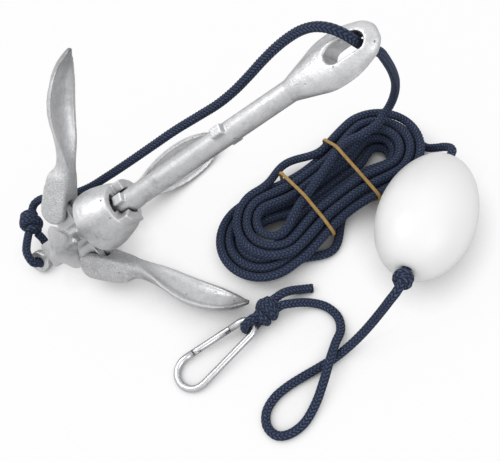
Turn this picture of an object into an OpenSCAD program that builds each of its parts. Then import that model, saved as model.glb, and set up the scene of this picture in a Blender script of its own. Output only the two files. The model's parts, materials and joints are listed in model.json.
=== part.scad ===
// Folding grapnel anchor at rest on the floor, with its rope, float and snap hook.
// Millimetres, +Z up. The shank leans in the XZ plane and rises towards +X.

/* [Shank] */
// Radius of the round shank bar
shank_r = 8; // [7:0.25:10]
// Radius of the shank where it runs into the rope eye
neck_r = 7.3; // [6.5:0.1:7.6]
// Distance from the crown eye centre to the end of the rope eye
shank_l = 318; // [300:1:340]
// Length of the swollen rope eye
eye_l = 68; // [60:1:76]
// Half width of the rope eye
eye_half_w = 17; // [14:0.5:19]
// Half thickness of the rope eye
eye_half_t = 9; // [8.5:0.25:10.5]
// Width of the slot through the rope eye
eye_slot_w = 11.5; // [9:0.5:13]
// Length of the slot through the rope eye
eye_slot_l = 26; // [20:1:27]
// Metal left beyond the slot at the end of the eye
eye_end_wall = 7.5; // [6:0.5:10]
// Radius over the locking lugs
lug_r = 11.5; // [11:0.25:13]
// Width of a locking lug
lug_w = 7; // [5:0.5:8]
// Height of a locking lug
lug_h = 9; // [6:0.5:12]
// Height of the upper lugs above the lower ones
lug_spacing = 96; // [88:1:104]

/* [Crown] */
// Radius of the crown hub
hub_r = 9.5; // [9:0.25:11]
// Distance from the crown eye centre up to the fluke pivots
pivot_s = 46.5; // [42:0.5:52]
// Distance of a fluke pivot from the shank axis
pivot_r = 24.5; // [23:0.5:27]
// Thickness of a pivot tongue
tongue_t = 7; // [5:0.5:8]
// Radius of a tongue round its pivot
tongue_r = 8.5; // [7:0.25:9]
// Outer radius of the crown eye
crown_eye_r = 8.5; // [8:0.25:10]
// Thickness of the crown eye
crown_eye_t = 6; // [5:0.25:8]
// Diameter of the hole in the crown eye
crown_hole_d = 8.4; // [7.6:0.1:9]

/* [Flukes] */
// Distance from the pivot to the tip of a fluke
fluke_reach = 122; // [112:1:130]
// Angle between an open fluke and the shank
open_angle = 41; // [37:0.5:44]
// Half width of a blade at its widest
blade_half_w = 15.5; // [14:0.5:17.5]
// How far the back of a blade stands out from the line between pivot and tip
blade_belly = 15; // [12:0.2:16]
// Wall of the blade's dish
blade_wall = 4; // [3:0.25:5]
// Radius of the fork plates round the pivot
root_r = 10; // [9:0.25:11]
// Width over the two fork plates
root_w = 19; // [18:0.5:22]
// Diameter of a pivot pin
pin_d = 6.4; // [5:0.2:8]

/* [Collar] */
// Height of the bell without its ears
collar_h = 28; // [24:0.5:32]
// Radius of the bell at its lower edge
collar_r = 23.5; // [21:0.5:25]
// Radius of the bell at its rim
rim_r = 17; // [15:0.5:19]
// Height of the two ears above the rim
ear_h = 8; // [5:0.5:10]
// Angle that each ear covers
ear_angle = 64; // [40:2:70]
// Height of the bell's lower edge above the pivots
collar_rise = 23.5; // [22:0.5:28]
// Wall of the bell's skirt
skirt_wall = 4.5; // [3.5:0.25:6]
// Depth of the hollow under the bell
skirt_depth = 12; // [8:0.5:16]
// Angle that each keyway covers
keyway_angle = 70; // [66:2:72]

/* [Rope] */
// Diameter of the rope
rope_d = 6.5; // [5:0.1:6.5]
// Radius of a knot
knot_r = 9; // [7:0.25:10]
// Length of a knot
knot_l = 20; // [14:0.5:24]
// Radius of the stopper knot below the float
stopper_r = 7; // [6:0.25:8]
// Length of the stopper knot
stopper_l = 10; // [8:0.5:14]

/* [Hank] */
// Loops side by side in a layer of the hank
hank_turns = 3.5; // [2.5:1:3.5]
// Half length of the outer loop, to the middle of the rope
hank_half_l = 78; // [70:1:84]
// Half width of the outer loop at its folds, to the middle of the rope
hank_half_w = 33; // [32:0.5:36]
// How much farther the lower layers' folds reach at the end beside the anchor
hank_spread = 14; // [0:1:15]
// How far every loop is drawn in at the waist
hank_waist = 7; // [0:0.5:7]
// Step from one loop to the next in a layer
hank_step = 7.4; // [7.3:0.1:7.6]
// Step from one layer to the next
hank_layer = 7.1; // [7:0.1:8]
// Width of a rubber band
band_w = 2.5; // [2:0.25:4]
// Thickness of a rubber band
band_t = 1.2; // [1:0.1:1.4]

/* [Float] */
// Length of the float
float_l = 102; // [90:1:110]
// Diameter of the float
float_d = 66; // [60:1:68]
// Diameter of the hole through the float
float_hole_d = 8.4; // [7.6:0.2:10]

/* [Snap hook] */
// Diameter of the hook's wire
wire_d = 5; // [4:0.25:5.5]
// Bend radius of the wide end, to the middle of the wire
wide_r = 12; // [11:0.5:13]
// Bend radius of the narrow end, to the middle of the wire
narrow_r = 6.5; // [6.5:0.25:8]
// Distance between the centres of the two ends
hook_l = 46; // [44:1:52]
// Length of the gate between its pivot and its nose
gate_l = 27; // [25:0.5:29]
// Diameter of the gate's pivot pin
gate_pin_d = 2; // [1.6:0.1:2.2]

/* [Fits] */
// Gap all round the shank in the collar
collar_gap = 0.4; // [0.3:0.05:0.6]
// Gap between a lug and its keyway
lug_gap = 0.6; // [0.4:0.1:1]
// Gap between a tongue and each fork plate
fork_gap = 0.4; // [0.3:0.05:0.6]
// Running clearance all round a pin
pin_gap = 0.05; // [0.02:0.01:0.1]
// Gap between soft pieces and what they lie on
soft_gap = 0.4; // [0.3:0.05:0.5]
// Gap between the gate and the hook's wire
gate_gap = 0.4; // [0.3:0.05:0.6]

/* [Hidden] */
$fn = 48;

cast = "#b9bbbd";
navy = "#2c3a58";
tan_rubber = "#b98a45";
shell_white = "#f2f2ee";
zinc = "#c9ccd0";

// Direction round the shank of each fluke: 1 and 4 point up, 2 and 3 lie on the floor
FLUKE_DIR = [0, 180, 270, 90];
roll = 135;
lug_dir = 58;
ear_dir = 116;
ear_ledge = 0.6;
eye_roll = -30;
eps = 0.01;

// Blade stations: share of the reach, then rim and back as shares of the belly, and share of the half width
BLADE = [
    [0.15, -0.62, 0.58, 0.52],
    [0.27, -0.62, 0.46, 0.48],
    [0.38, -0.47, 0.40, 0.60],
    [0.50, -0.12, 0.68, 0.85],
    [0.63, 0.15, 0.96, 1.00],
    [0.77, 0.24, 1.00, 0.96],
    [0.88, 0.22, 0.76, 0.70],
    [0.95, 0.12, 0.45, 0.36],
    [1.00, -0.02, 0.16, 0.08]];
blade_rings = 18;
blade_arc = 6;

// Eye stations: share of the eye's length, then shares of the half width and of the half thickness
EYE = [
    [0.00, -0.10, -0.60],
    [0.10, 0.13, 0.35],
    [0.28, 0.58, 0.75],
    [0.42, 0.92, 0.95],
    [0.56, 1.00, 1.00],
    [0.70, 0.92, 1.00],
    [0.82, 0.66, 0.86],
    [0.92, 0.38, 0.62],
    [1.00, -0.22, 0.30]];
eye_rings = 20;
eye_sides = 28;

// Smooth curve through a table's rows, u counts rows from 0
function row(t, i) = t[min(max(i, 0), len(t) - 1)];
function smooth(a, b, c, d, f) =
    0.5 * (2 * b + (c - a) * f + (2 * a - 5 * b + 4 * c - d) * f * f + (3 * b - a - 3 * c + d) * f * f * f);
function through(t, u) = let (i = min(floor(u), len(t) - 2))
    smooth(row(t, i - 1), row(t, i), row(t, i + 1), row(t, i + 2), u - i);

// Depth of a blade's section, 1 at the keel along the back and 0 at the rims
function keel(p) = 0.7 * cos(p) + 0.3 * (1 - abs(sin(p)));
// One ring of a blade: pivot at the origin, reach along Z, back towards X
function blade_ring(u) = let (
        v = through(BLADE, u),
        rim = v[1] * blade_belly,
        depth = (v[2] - v[1]) * blade_belly,
        w = v[3] * blade_half_w,
        full = len(BLADE) - 1,
        dish = sin(180 * min(max((u - 1.6) / (full - 1.8), 0), 1)),
        floor_depth = max(depth - blade_wall, 0) * pow(dish, 0.5),
        lip = min(blade_wall * 0.8, w * 0.4))
    concat(
        [for (i = [-blade_arc : blade_arc]) let (p = 90 * i / blade_arc)
            [rim + depth * keel(p), w * sin(p), v[0] * fluke_reach]],
        [for (i = [blade_arc : -1 : -blade_arc]) let (p = 90 * i / blade_arc)
            [rim + floor_depth * keel(p) - 0.2, (w - lip) * sin(p), v[0] * fluke_reach]]);
BLADE_RINGS = [for (k = [0 : blade_rings]) blade_ring((len(BLADE) - 1) * k / blade_rings)];

// Point of an open fluke as distance along the shank, out from it and across the fluke
function opened(p) = [
    pivot_s + p[2] * cos(open_angle) - p[0] * sin(open_angle),
    pivot_r + p[2] * sin(open_angle) + p[0] * cos(open_angle),
    abs(p[1])];
FLOOR_SIDE = concat(
    [for (ring = BLADE_RINGS) for (p = ring) opened(p)],
    [for (a = [0 : 15 : 345]) [pivot_s + root_r * cos(a), pivot_r + root_r * sin(a), root_w / 2]]);

// Lean of the shank at which the two lower flukes and the crown eye all touch the floor
function crown_low(lean) = let (up = cos(lean) / sqrt(2))
    crown_eye_r * sqrt(1 - up * up) + crown_eye_t / 2 * up;
function lowest(lean) = min([for (p = FLOOR_SIDE)
    crown_low(lean) + p[0] * sin(lean) - cos(lean) * (p[1] + p[2]) / sqrt(2)]);
function settle(lo, hi, n) = n == 0 ? hi :
    let (mid = (lo + hi) / 2) lowest(mid) > 0 ? settle(lo, mid, n - 1) : settle(mid, hi, n - 1);
lean = settle(10, 60, 30);
crown_z = crown_low(lean);

// Rope eye
eye_s = shank_l - eye_l;
slot_s = shank_l - eye_end_wall - eye_slot_l / 2;
function eye_ring(u) = let (
        v = through(EYE, u),
        hw = neck_r + v[1] * (eye_half_w - neck_r),
        ht = neck_r + v[2] * (eye_half_t - neck_r),
        end = v[0] > 0.72 ? sqrt(max(1 - pow((v[0] - 0.72) / 0.285, 2), 0.02)) : 1)
    [for (i = [0 : eye_sides - 1]) let (a = 360 * i / eye_sides)
        [hw * cos(a), ht * sin(a) * end, eye_s + v[0] * eye_l]];
EYE_RINGS = [for (k = [0 : eye_rings]) eye_ring((len(EYE) - 1) * k / eye_rings)];

// The anchor stands with the middle of its length over the origin
function along_x(p) = let (r = roll + eye_roll)
    sin(lean) * (p[0] * cos(r) - p[1] * sin(r)) + p[2] * cos(lean);
eye_end_x = max([for (ring = EYE_RINGS) for (p = ring) along_x(p)]);
crown_x = (crown_eye_r - eye_end_x) / 2;

collar_s = pivot_s + collar_rise;
rim_s = collar_s + collar_h;
lug_s = rim_s + lug_gap;
hub_top = pivot_s + tongue_r + 6;
bar_start = crown_eye_r * 0.5;
bar_start_r = crown_eye_t * 0.45;
bar_end = eye_s + eye_l * 0.14;
straight_top = rim_s + ear_h + 20;
keyway_r = norm([lug_r, lug_w / 2]) + lug_gap;
slot_w = tongue_t + 2 * fork_gap;
slot_r = tongue_r + fork_gap;

// Routes of the rope's free stretches, middle of the rope, chosen by hand
KNOT_CROWN = [-137, 29, 20];
CROWN_LOOP = [[-133.5, 20.5, 16], [-131.5, 18, 11], [-130.5, 14.5, 6.5], [-130.5, 11, 4.2], [-130.7, 7, 3.7],
    [-132, 3.4, 5.4], [-133.7, 0, 8.6], [-135.4, -3.5, 11.7], [-137.2, -4.2, 15.5], [-139, -1, 18.8],
    [-140.4, 4, 20.2], [-140.2, 10, 20.4], [-139.6, 15, 20.2], [-139, 19.5, 19.8]];
MAIN = [[-135.5, 38.6, 21.5], [-133, 43, 23], [-127, 45, 25], [-118, 43, 27.5], [-107, 39, 30.5],
    [-95, 36.5, 34], [-81, 35, 39], [-64, 34, 48], [-43, 33, 60], [-21, 33, 72], [0, 32.5, 84],
    [20, 30.5, 95.5], [36, 27.5, 106.5], [49, 25.5, 117.5], [61, 24.5, 129], [72.5, 23.5, 141],
    [82.5, 21.5, 151.5], [91.5, 18.5, 160.5], [99.5, 14.5, 168], [107.3, 9.8, 173], [114.6, 4.6, 174.8],
    [120.8, 0.9, 172.8], [125.3, -0.1, 167.9], [129.1, 1.3, 161], [132.9, 3.3, 154.2], [137.4, 5.6, 147],
    [142.2, 9.2, 139], [145.3, 14.1, 127.5], [148.1, 20.1, 114.5], [150.8, 26.1, 101], [153.1, 32, 87],
    [154.8, 37.5, 73], [155.2, 41.7, 60], [154.3, 44, 49.5], [152.2, 44.9, 41], [149, 44.6, 34.4],
    [144.9, 43.5, 29.8]];
FLOAT_AT = [155, -48.5, 0];
float_turn = 60;
float_tilt = 12;
LEAD_IN = [[172.5, 21.5, 6.5], [178, 18, 9.5], [183, 14.5, 13.5], [186, 10, 17.5], [186, 5, 20.5]];
LEAD = [[125.6, -99.6, 46], [121.5, -103.8, 44.5], [116.8, -106, 39.5], [112.5, -107.2, 32.5],
    [107.5, -108.8, 25.5], [101, -111.5, 18.5], [93, -115, 12], [83.5, -119, 6.5], [73, -123.4, 3.6],
    [62, -127.6, 3.4], [50, -131.8, 3.4], [39, -136.2, 3.4], [29, -142, 3.4], [22, -150.5, 3.4],
    [21, -160, 3.4], [26, -167, 3.4], [34, -168, 3.4], [45, -163, 3.4], [55, -152, 4.5], [63, -140, 8.5],
    [70, -127, 10.8], [76, -115, 8.5], [81, -105, 4.6], [81, -95, 3.4], [75, -86, 3.4], [66, -81, 4],
    [58, -80, 7], [51, -80.5, 10], [45, -81.2, 12], [41, -82.8, 12]];
TAIL = [[38.5, -76.5, 12], [42, -74.7, 12], [47, -72, 11], [53, -70, 8], [59, -69, 4.6], [64, -69, 3.4],
    [68, -69.5, 3.4]];

// Egg shaped float, a little fuller towards the end with the knot, touching the floor
function egg(a) = [float_d / 2 * pow(cos(a), 0.92) * (1 - 0.05 * sin(a) - 0.05 * pow(sin(a), 2)),
    float_l / 2 * sin(a)];
EGG = [for (a = [-84 : 6 : 84]) egg(a)];
float_z = max([for (p = EGG) p[0] * cos(float_tilt) + p[1] * sin(float_tilt)]);
FLOAT_MIDDLE = FLOAT_AT + [0, 0, float_z];
FLOAT_DIR = [cos(float_turn) * cos(float_tilt), sin(float_turn) * cos(float_tilt), -sin(float_tilt)];
function on_float_axis(d) = FLOAT_MIDDLE + d * FLOAT_DIR;

hank_at = [93, 3, 0];
hank_turn = 27;
hook_at = [-35, -118];
hook_turn = 27;

rope_r = rope_d / 2;
rope_sides = 10;

// Tube along a route
function unit(v) = v / norm(v);
function heading(r, i) = unit(r[min(i + 1, len(r) - 1)] - r[max(i - 1, 0)]);
function side_start(d) = unit(cross(d, abs(d[2]) < 0.8 ? [0, 0, 1] : [1, 0, 0]));
function side_next(s, d) = unit(s - d * (s * d));
function sides(r, i, s, acc) = i == len(r) ? acc :
    let (n = side_next(s, heading(r, i))) sides(r, i + 1, n, concat(acc, [n]));
function frames(r) = sides(r, 0, side_start(heading(r, 0)), []);
function tube_points(r, radius, n) = let (f = frames(r))
    [for (i = [0 : len(r) - 1]) let (x = f[i], y = cross(heading(r, i), f[i]))
        for (k = [0 : n - 1]) r[i] + radius * (cos(360 * k / n) * x + sin(360 * k / n) * y)];
function skin(rings, n) = [for (i = [0 : rings - 2]) for (k = [0 : n - 1]) let (
        a = i * n + k,
        b = i * n + (k + 1) % n)
    each [[a, b + n, b], [a, a + n, b + n]]];
function caps(rings, n) = [
    [for (k = [0 : n - 1]) k],
    [for (k = [n - 1 : -1 : 0]) (rings - 1) * n + k]];
module sweep(rings_points, rings, n) {
    polyhedron(points = rings_points, faces = concat(skin(rings, n), caps(rings, n)), convexity = 8);
}
// Blade skin, its two ends closed by strips from the back to the dish
function strip(first, n, flip) = [for (i = [0 : n / 2 - 2]) let (
        a = first + i,
        b = first + n - 1 - i)
    each flip ? [[a, b, a + 1], [a + 1, b, b - 1]] : [[a, a + 1, b], [a + 1, b - 1, b]]];
module blade() {
    n = len(BLADE_RINGS[0]);
    last = blade_rings * n;
    polyhedron(points = [for (ring = BLADE_RINGS) each ring],
        faces = concat(skin(blade_rings + 1, n), strip(0, n, false), strip(last, n, true)), convexity = 4);
}

module tube(route, radius = rope_r, n = rope_sides) {
    sweep(tube_points(route, radius, n), len(route), n);
}

// Rubber bands and the hank that they hold
band_inner = band_t + soft_gap;
hank_z = band_inner + rope_r;
hank_first = hank_turns - 0.25;
hank_end = hank_first + 2 * hank_turns - 5 / 12;
hank_climb = 0.34;
hank_stray = 22;
hank_rings = 24;
BAND_X = [-20, 22];

// Turns wound inwards at turn t, and the layer there
function wound(t) = let (m = (t - hank_first + 2 * hank_turns) % (2 * hank_turns))
    m < hank_turns ? hank_first - m : hank_first - 2 * hank_turns + m;
function rise(f) = f <= 0 ? 0 : f >= 1 ? 1 : f * f * (3 - 2 * f);
function layer(t) = rise((t - hank_first) / hank_climb + 0.5)
    + rise((t - hank_first - hank_turns) / hank_climb + 0.5)
    + rise((t - hank_end) / hank_climb + 1);
run_half = hank_half_l - hank_half_w;
function waist(x) = hank_waist * pow(cos(90 * min(abs(x) / (run_half + 8), 1)), 2);
// Where a loop's fold at -X starts: the two lower layers reach farther
function run_end(t) = layer(floor(t) + 0.5) < 1.5 ? run_half + hank_spread : run_half;
// Round ended loop in sixths: half a fold at +X, the run at +Y, two of fold at -X, the run at -Y, half a fold
function loop_point(t) = let (
        r = hank_half_w - hank_step * wound(t),
        e = run_end(t),
        f = 6 * (t - floor(t)))
    f < 1 ? [run_half + r * cos(90 * f), r * sin(90 * f)] :
    f < 2 ? [run_half - (run_half + e) * (f - 1), r] :
    f < 4 ? [-e - r * sin(90 * (f - 2)), r * cos(90 * (f - 2))] :
    f < 5 ? [-e + (run_half + e) * (f - 4), -r] :
    [run_half + r * sin(90 * (f - 5)), -r * cos(90 * (f - 5))];
function drawn_in(p) = [p[0], p[1] - sign(p[1]) * min(waist(p[0]), abs(p[1]))];
// The last run climbs onto the others and strays to the middle, from where the rope rises to the rope eye
function hank_point(t) = let (p = drawn_in(loop_point(t)))
    [p[0], p[1] + hank_stray * rise(6 * (t - hank_end) + 1), hank_z + hank_layer * layer(t)];
HANK_LOOPS = [for (k = [0 : round(hank_rings * hank_end)]) hank_point(k / hank_rings)];
hank_last = HANK_LOOPS[len(HANK_LOOPS) - 1];
HANK = concat([HANK_LOOPS[0] - [0, rope_d, 0]], HANK_LOOPS, [hank_last + [rope_d, 0, 0]]);
function on_floor(p) = hank_at + [p[0] * cos(hank_turn) - p[1] * sin(hank_turn),
    p[0] * sin(hank_turn) + p[1] * cos(hank_turn), p[2]];
HANK_START = on_floor(HANK[0]);
HANK_START_RUN = on_floor(HANK[0] - [0, rope_d, 0]);
HANK_END = on_floor(HANK[len(HANK) - 1]);
HANK_END_RUN = on_floor(HANK[len(HANK) - 1] + [rope_d, 0, 0]);

// Least gap of the hank to itself, points against stretches more than half a loop away
function to_stretch(p, a, b) = let (f = min(max((p - a) * (b - a) / ((b - a) * (b - a)), 0), 1))
    norm(p - a - f * (b - a));
function hank_gap() = min([for (i = [0 : len(HANK) - 2]) for (j = [i + 10 : 1 : len(HANK) - 2])
    to_stretch(HANK[i], HANK[j], HANK[j + 1])]) - rope_d;
echo(hank_least_gap = hank_gap());

// Snap hook, flat in its own plane with the wide end's centre at the origin
wire_r = wire_d / 2;
hook_taper = asin((wide_r - narrow_r) / hook_l);
hook_side_l = hook_l * cos(hook_taper);
gate_x = (hook_side_l - gate_l) / 2;
loop_r = rope_r + wire_r + soft_gap;
hook_lift = loop_r + rope_r + soft_gap / 2;
hook_end = hook_l + wide_r + narrow_r;
hook_tilt = asin((hook_lift - wire_r) / hook_end);
tab_t = wire_d * 0.4;
tab_r = wire_r * 0.88;
tab_slot = tab_t + 2 * gate_gap;
gate_back = wire_r * 0.9;
stub_end = gate_x - norm([gate_back, wire_r]) - gate_gap;
nose_x = gate_x + norm([gate_l, wire_r]) + gate_gap;
nose_reach = 3.5;
plunger_d = gate_pin_d * 0.8;
plunger_l = gate_l * 0.3;
wire_sides = 12;

// Middle of the hook's wire, from the stub at the gate's pivot round to the nose
function side_point(x, side) = let (c = cos(hook_taper), n = sin(hook_taper))
    [wide_r * n + x * c, side * (wide_r * c - x * n), 0];
function arc_points(at, r, from, to, n) = [for (i = [0 : n]) let (a = from + (to - from) * i / n)
    [at + r * cos(a), r * sin(a), 0]];
HOOK_WIRE = concat(
    [side_point(stub_end, 1)],
    arc_points(0, wide_r, 90 - hook_taper, 270 + hook_taper, 12),
    [side_point(hook_side_l / 2, -1)],
    arc_points(hook_l, narrow_r, hook_taper - 90, 90 - hook_taper, 10),
    [side_point(nose_x, 1)]);

module posed() {
    translate([crown_x, 0, crown_z])
        rotate([0, 90 - lean, 0])
            rotate([0, 0, roll])
                children();
}

module at_pivot(k) {
    posed()
        rotate([0, 0, FLUKE_DIR[k - 1]])
            translate([pivot_r, 0, pivot_s])
                children();
}

// Flat piece standing in the XZ plane
module upright(t) {
    rotate([90, 0, 0])
        linear_extrude(t, center = true)
            children();
}

module tongue_pair() {
    difference() {
        upright(tongue_t) {
            for (side = [-1, 1])
                translate([side * pivot_r, pivot_s])
                    circle(tongue_r);
            translate([-pivot_r, pivot_s - tongue_r])
                square([2 * pivot_r, 2 * tongue_r]);
        }
        for (side = [-1, 1])
            translate([side * pivot_r, 0, pivot_s])
                rotate([90, 0, 0])
                    cylinder(h = 2 * tongue_t, d = pin_d + 2 * pin_gap, center = true);
    }
}

module lugs(s) {
    for (a = [lug_dir, lug_dir + 180])
        rotate([0, 0, a])
            translate([0, -lug_w / 2, s])
                cube([lug_r, lug_w, lug_h]);
}

module crown_eye() {
    rotate([90, 0, 0])
        cylinder(h = crown_eye_t, r = crown_eye_r, center = true);
}

module crown_hole() {
    rotate([90, 0, 0])
        cylinder(h = 4 * crown_eye_t, d = crown_hole_d, center = true);
}

module eye_slot() {
    reach = eye_slot_l / 2 - eye_slot_w / 2;
    for (side = [-1, 1])
        translate([0, 0, slot_s + side * reach])
            rotate([90, 0, 0])
                cylinder(h = 4 * eye_half_t, d = eye_slot_w, center = true);
    translate([-eye_slot_w / 2, -2 * eye_half_t, slot_s - reach])
        cube([eye_slot_w, 4 * eye_half_t, 2 * reach]);
}

// Outline of the round bar, from the crown up into the rope eye
module bar() {
    rotate_extrude()
        polygon([[0, bar_start], [bar_start_r, bar_start], [hub_r, pivot_s - tongue_r], [hub_r, hub_top],
            [shank_r, hub_top + hub_r - shank_r], [shank_r, straight_top], [neck_r, bar_end], [0, bar_end]]);
}

module shank() {
    color(cast) posed() {
        difference() {
            union() {
                crown_eye();
                bar();
            }
            crown_hole();
        }
        for (a = [0, 90])
            rotate([0, 0, a])
                tongue_pair();
        for (s = [lug_s, lug_s + lug_spacing])
            lugs(s);
        rotate([0, 0, eye_roll])
            difference() {
                sweep([for (ring = EYE_RINGS) each ring], eye_rings + 1, eye_sides);
                eye_slot();
            }
    }
}

module sector(angle, h, r) {
    rotate_extrude(angle = angle)
        square([r, h]);
}

module collar() {
    bore = shank_r + collar_gap;
    inner = collar_r - skirt_wall;
    color(cast) posed() translate([0, 0, collar_s]) {
        difference() {
            union() {
                rotate_extrude()
                    polygon([[inner, 0], [collar_r, 0], [collar_r, collar_h * 0.16],
                        [collar_r * 0.97, collar_h * 0.36], [collar_r * 0.9, collar_h * 0.6],
                        [(collar_r * 0.9 + rim_r) / 2, collar_h * 0.84], [rim_r, collar_h],
                        [bore, collar_h], [bore, skirt_depth + 3], [inner, skirt_depth]]);
                for (a = [ear_dir, ear_dir + 180])
                    rotate([0, 0, a])
                        rotate_extrude(angle = ear_angle)
                            translate([bore + ear_ledge, collar_h - 1])
                                square([rim_r - bore - 2 * ear_ledge, ear_h + 1]);
            }
            for (a = [lug_dir, lug_dir + 180])
                rotate([0, 0, a - keyway_angle / 2])
                    translate([0, 0, -1])
                        sector(keyway_angle, collar_h + 2, keyway_r);
        }
    }
}

module fork() {
    block = fluke_reach * 0.17;
    difference() {
        upright(root_w) {
            circle(root_r);
            polygon([[root_r, 0], [root_r * 0.95, block * 0.7], [blade_belly * 0.5, block * 1.5],
                [-blade_belly * 0.6, block * 1.5], [-root_r, block * 0.7], [-root_r, 0]]);
        }
        upright(slot_w) {
            circle(slot_r);
            translate([-2 * root_r, -2 * root_r])
                square([2 * root_r, 2 * root_r + slot_r + 1]);
            translate([-2 * root_r, -2 * root_r])
                square([2 * root_r + slot_r, 2 * root_r]);
        }
        rotate([90, 0, 0])
            cylinder(h = 2 * root_w, d = pin_d, center = true);
    }
}

module fluke(k) {
    color(cast) at_pivot(k) rotate([0, open_angle, 0]) {
        fork();
        blade();
    }
}

module fluke_pin(k) {
    color(zinc) at_pivot(k)
        rotate([90, 0, 0])
            cylinder(h = root_w, d = pin_d, center = true);
}

// Barrel shaped knot, long way along X
module knot(at, turn, lift = 0, r = knot_r, l = knot_l) {
    half = l / 2;
    translate(at)
        rotate([0, 90 - lift, turn])
            rotate_extrude()
                polygon(concat([[0, -half]],
                    [for (a = [-60 : 20 : 60]) [r * cos(a * 0.85), half * sin(a) / sin(60)]],
                    [[0, half]]));
}

module crown_loop() {
    color(navy) tube(CROWN_LOOP);
}

module crown_knot() {
    color(navy) knot(KNOT_CROWN, 82, 8);
}

module rope_main() {
    color(navy) tube(concat(MAIN, [HANK_END_RUN, HANK_END]));
}

module rope_hank() {
    color(navy) translate(hank_at) rotate([0, 0, hank_turn])
        tube(HANK, rope_r, 6);
}

// Outline stretched round every strand where a band crosses the hank, a margin away from the rope
function crossings(x) = [for (i = [0 : len(HANK) - 2]) let (a = HANK[i], b = HANK[i + 1])
    if ((a[0] - x) * (b[0] - x) < 0) a + (b - a) * (x - a[0]) / (b[0] - a[0])];
module round_strands(x, margin) {
    hull()
        for (side = [-1, 1])
            for (p = crossings(x + side * band_w / 2))
                translate([p[1], p[2]])
                    circle(rope_r + margin);
}

module hank_band(i) {
    x = BAND_X[i - 1];
    color(tan_rubber) translate(hank_at) rotate([0, 0, hank_turn]) translate([x, 0, 0])
        rotate([90, 0, 90])
            linear_extrude(band_w, center = true)
                difference() {
                    round_strands(x, soft_gap + band_t);
                    round_strands(x, soft_gap);
                }
}

module on_float() {
    translate(FLOAT_MIDDLE)
        rotate([0, 90 + float_tilt, float_turn])
            children();
}

module float_body() {
    color(shell_white) on_float() difference() {
        rotate_extrude()
            polygon(concat([[0, -float_l / 2]], EGG, [[0, float_l / 2]]));
        cylinder(h = 2 * float_l, d = float_hole_d, center = true);
    }
}

module rope_float() {
    out = float_l / 2 + 6;
    color(navy) tube(concat([HANK_START, HANK_START_RUN], LEAD_IN, [on_float_axis(out),
        on_float_axis(0.3 * out), on_float_axis(-0.3 * out), on_float_axis(-float_l / 2 - soft_gap)]));
}

module float_knot() {
    color(navy)
        knot(on_float_axis(-float_l / 2 - soft_gap - stopper_l / 2), float_turn, -float_tilt,
            stopper_r, stopper_l);
}

module rope_lead() {
    color(navy) tube(LEAD);
}

module rope_tail() {
    color(navy) tube(TAIL);
}

module on_hook() {
    translate([hook_at[0], hook_at[1], wire_r + eps])
        rotate([0, 0, hook_turn])
            rotate([0, -hook_tilt, 0])
                translate([wide_r, 0, 0])
                    children();
}

// Frame along the gate's side of the hook, X from the wide end to the narrow end
module gate_side() {
    rotate([0, 0, -hook_taper])
        translate([0, wide_r, 0])
            children();
}

module rod(x, l, d) {
    translate([x, 0, 0])
        rotate([0, 90, 0])
            cylinder(h = l, d = d);
}

module plate(x, l, half_w, t) {
    translate([x, -half_w, -t / 2])
        cube([l, 2 * half_w, t]);
}

module hook_knot() {
    color(navy) on_hook() translate([hook_l + narrow_r, 0, 0]) {
        rotate([90, 0, 0])
            rotate_extrude()
                translate([loop_r, 0])
                    circle(rope_r);
        knot([wire_r + soft_gap + knot_l / 2, 0, 0], 0);
    }
}

module hook_body() {
    color(zinc) on_hook() {
        sweep(tube_points(HOOK_WIRE, wire_r, wire_sides), len(HOOK_WIRE), wire_sides);
        gate_side() {
            difference() {
                union() {
                    plate(stub_end - 1, gate_x - stub_end + 1, tab_r, tab_t);
                    translate([gate_x, 0, 0])
                        cylinder(h = tab_t, r = tab_r, center = true);
                }
                translate([gate_x, 0, 0])
                    cylinder(h = 2 * tab_t, d = gate_pin_d, center = true);
            }
            plate(nose_x - nose_reach, nose_reach + 1, tab_r * 0.8, tab_t);
        }
    }
}

module hook_gate() {
    floor_x = gate_x + tab_r + gate_gap;
    nose_floor = nose_x - nose_reach - 2 * gate_gap;
    color(zinc) on_hook() gate_side() difference() {
        rod(gate_x - gate_back, gate_l + gate_back, wire_d);
        plate(gate_x - wire_d, floor_x - gate_x + wire_d, wire_d, tab_slot);
        plate(nose_floor, wire_d * 2, wire_d, tab_slot);
        translate([gate_x, 0, 0])
            cylinder(h = 2 * wire_d, d = gate_pin_d + 2 * pin_gap, center = true);
        rod(floor_x - gate_gap, plunger_l + gate_gap, plunger_d + gate_gap);
    }
}

module gate_pin() {
    color(zinc) on_hook() gate_side()
        translate([gate_x, 0, 0])
            cylinder(h = wire_d * 0.86, d = gate_pin_d, center = true);
}

module gate_plunger() {
    start = gate_x + tab_r + gate_gap;
    color(zinc) on_hook() gate_side()
        rod(start, plunger_l, plunger_d);
}

shank();
collar();
fluke(1);  // fluke_1
fluke(2);  // fluke_2
fluke(3);  // fluke_3
fluke(4);  // fluke_4
fluke_pin(1);  // fluke_pin_1
fluke_pin(2);  // fluke_pin_2
fluke_pin(3);  // fluke_pin_3
fluke_pin(4);  // fluke_pin_4
crown_loop();
crown_knot();
rope_main();
rope_hank();
hank_band(1);  // hank_band_1
hank_band(2);  // hank_band_2
rope_float();
float_body();
float_knot();
rope_lead();
hook_knot();
rope_tail();
hook_body();
hook_gate();
gate_pin();
gate_plunger();
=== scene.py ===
"""Looks for the folding grapnel anchor with its rope, float and snap hook.

Sizes are in millimetres, in the frame of the CAD part, and MM turns them into metres.
"""

import json
import math

import bmesh
import bpy
import numpy as np
from mathutils import Matrix, Vector


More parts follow.
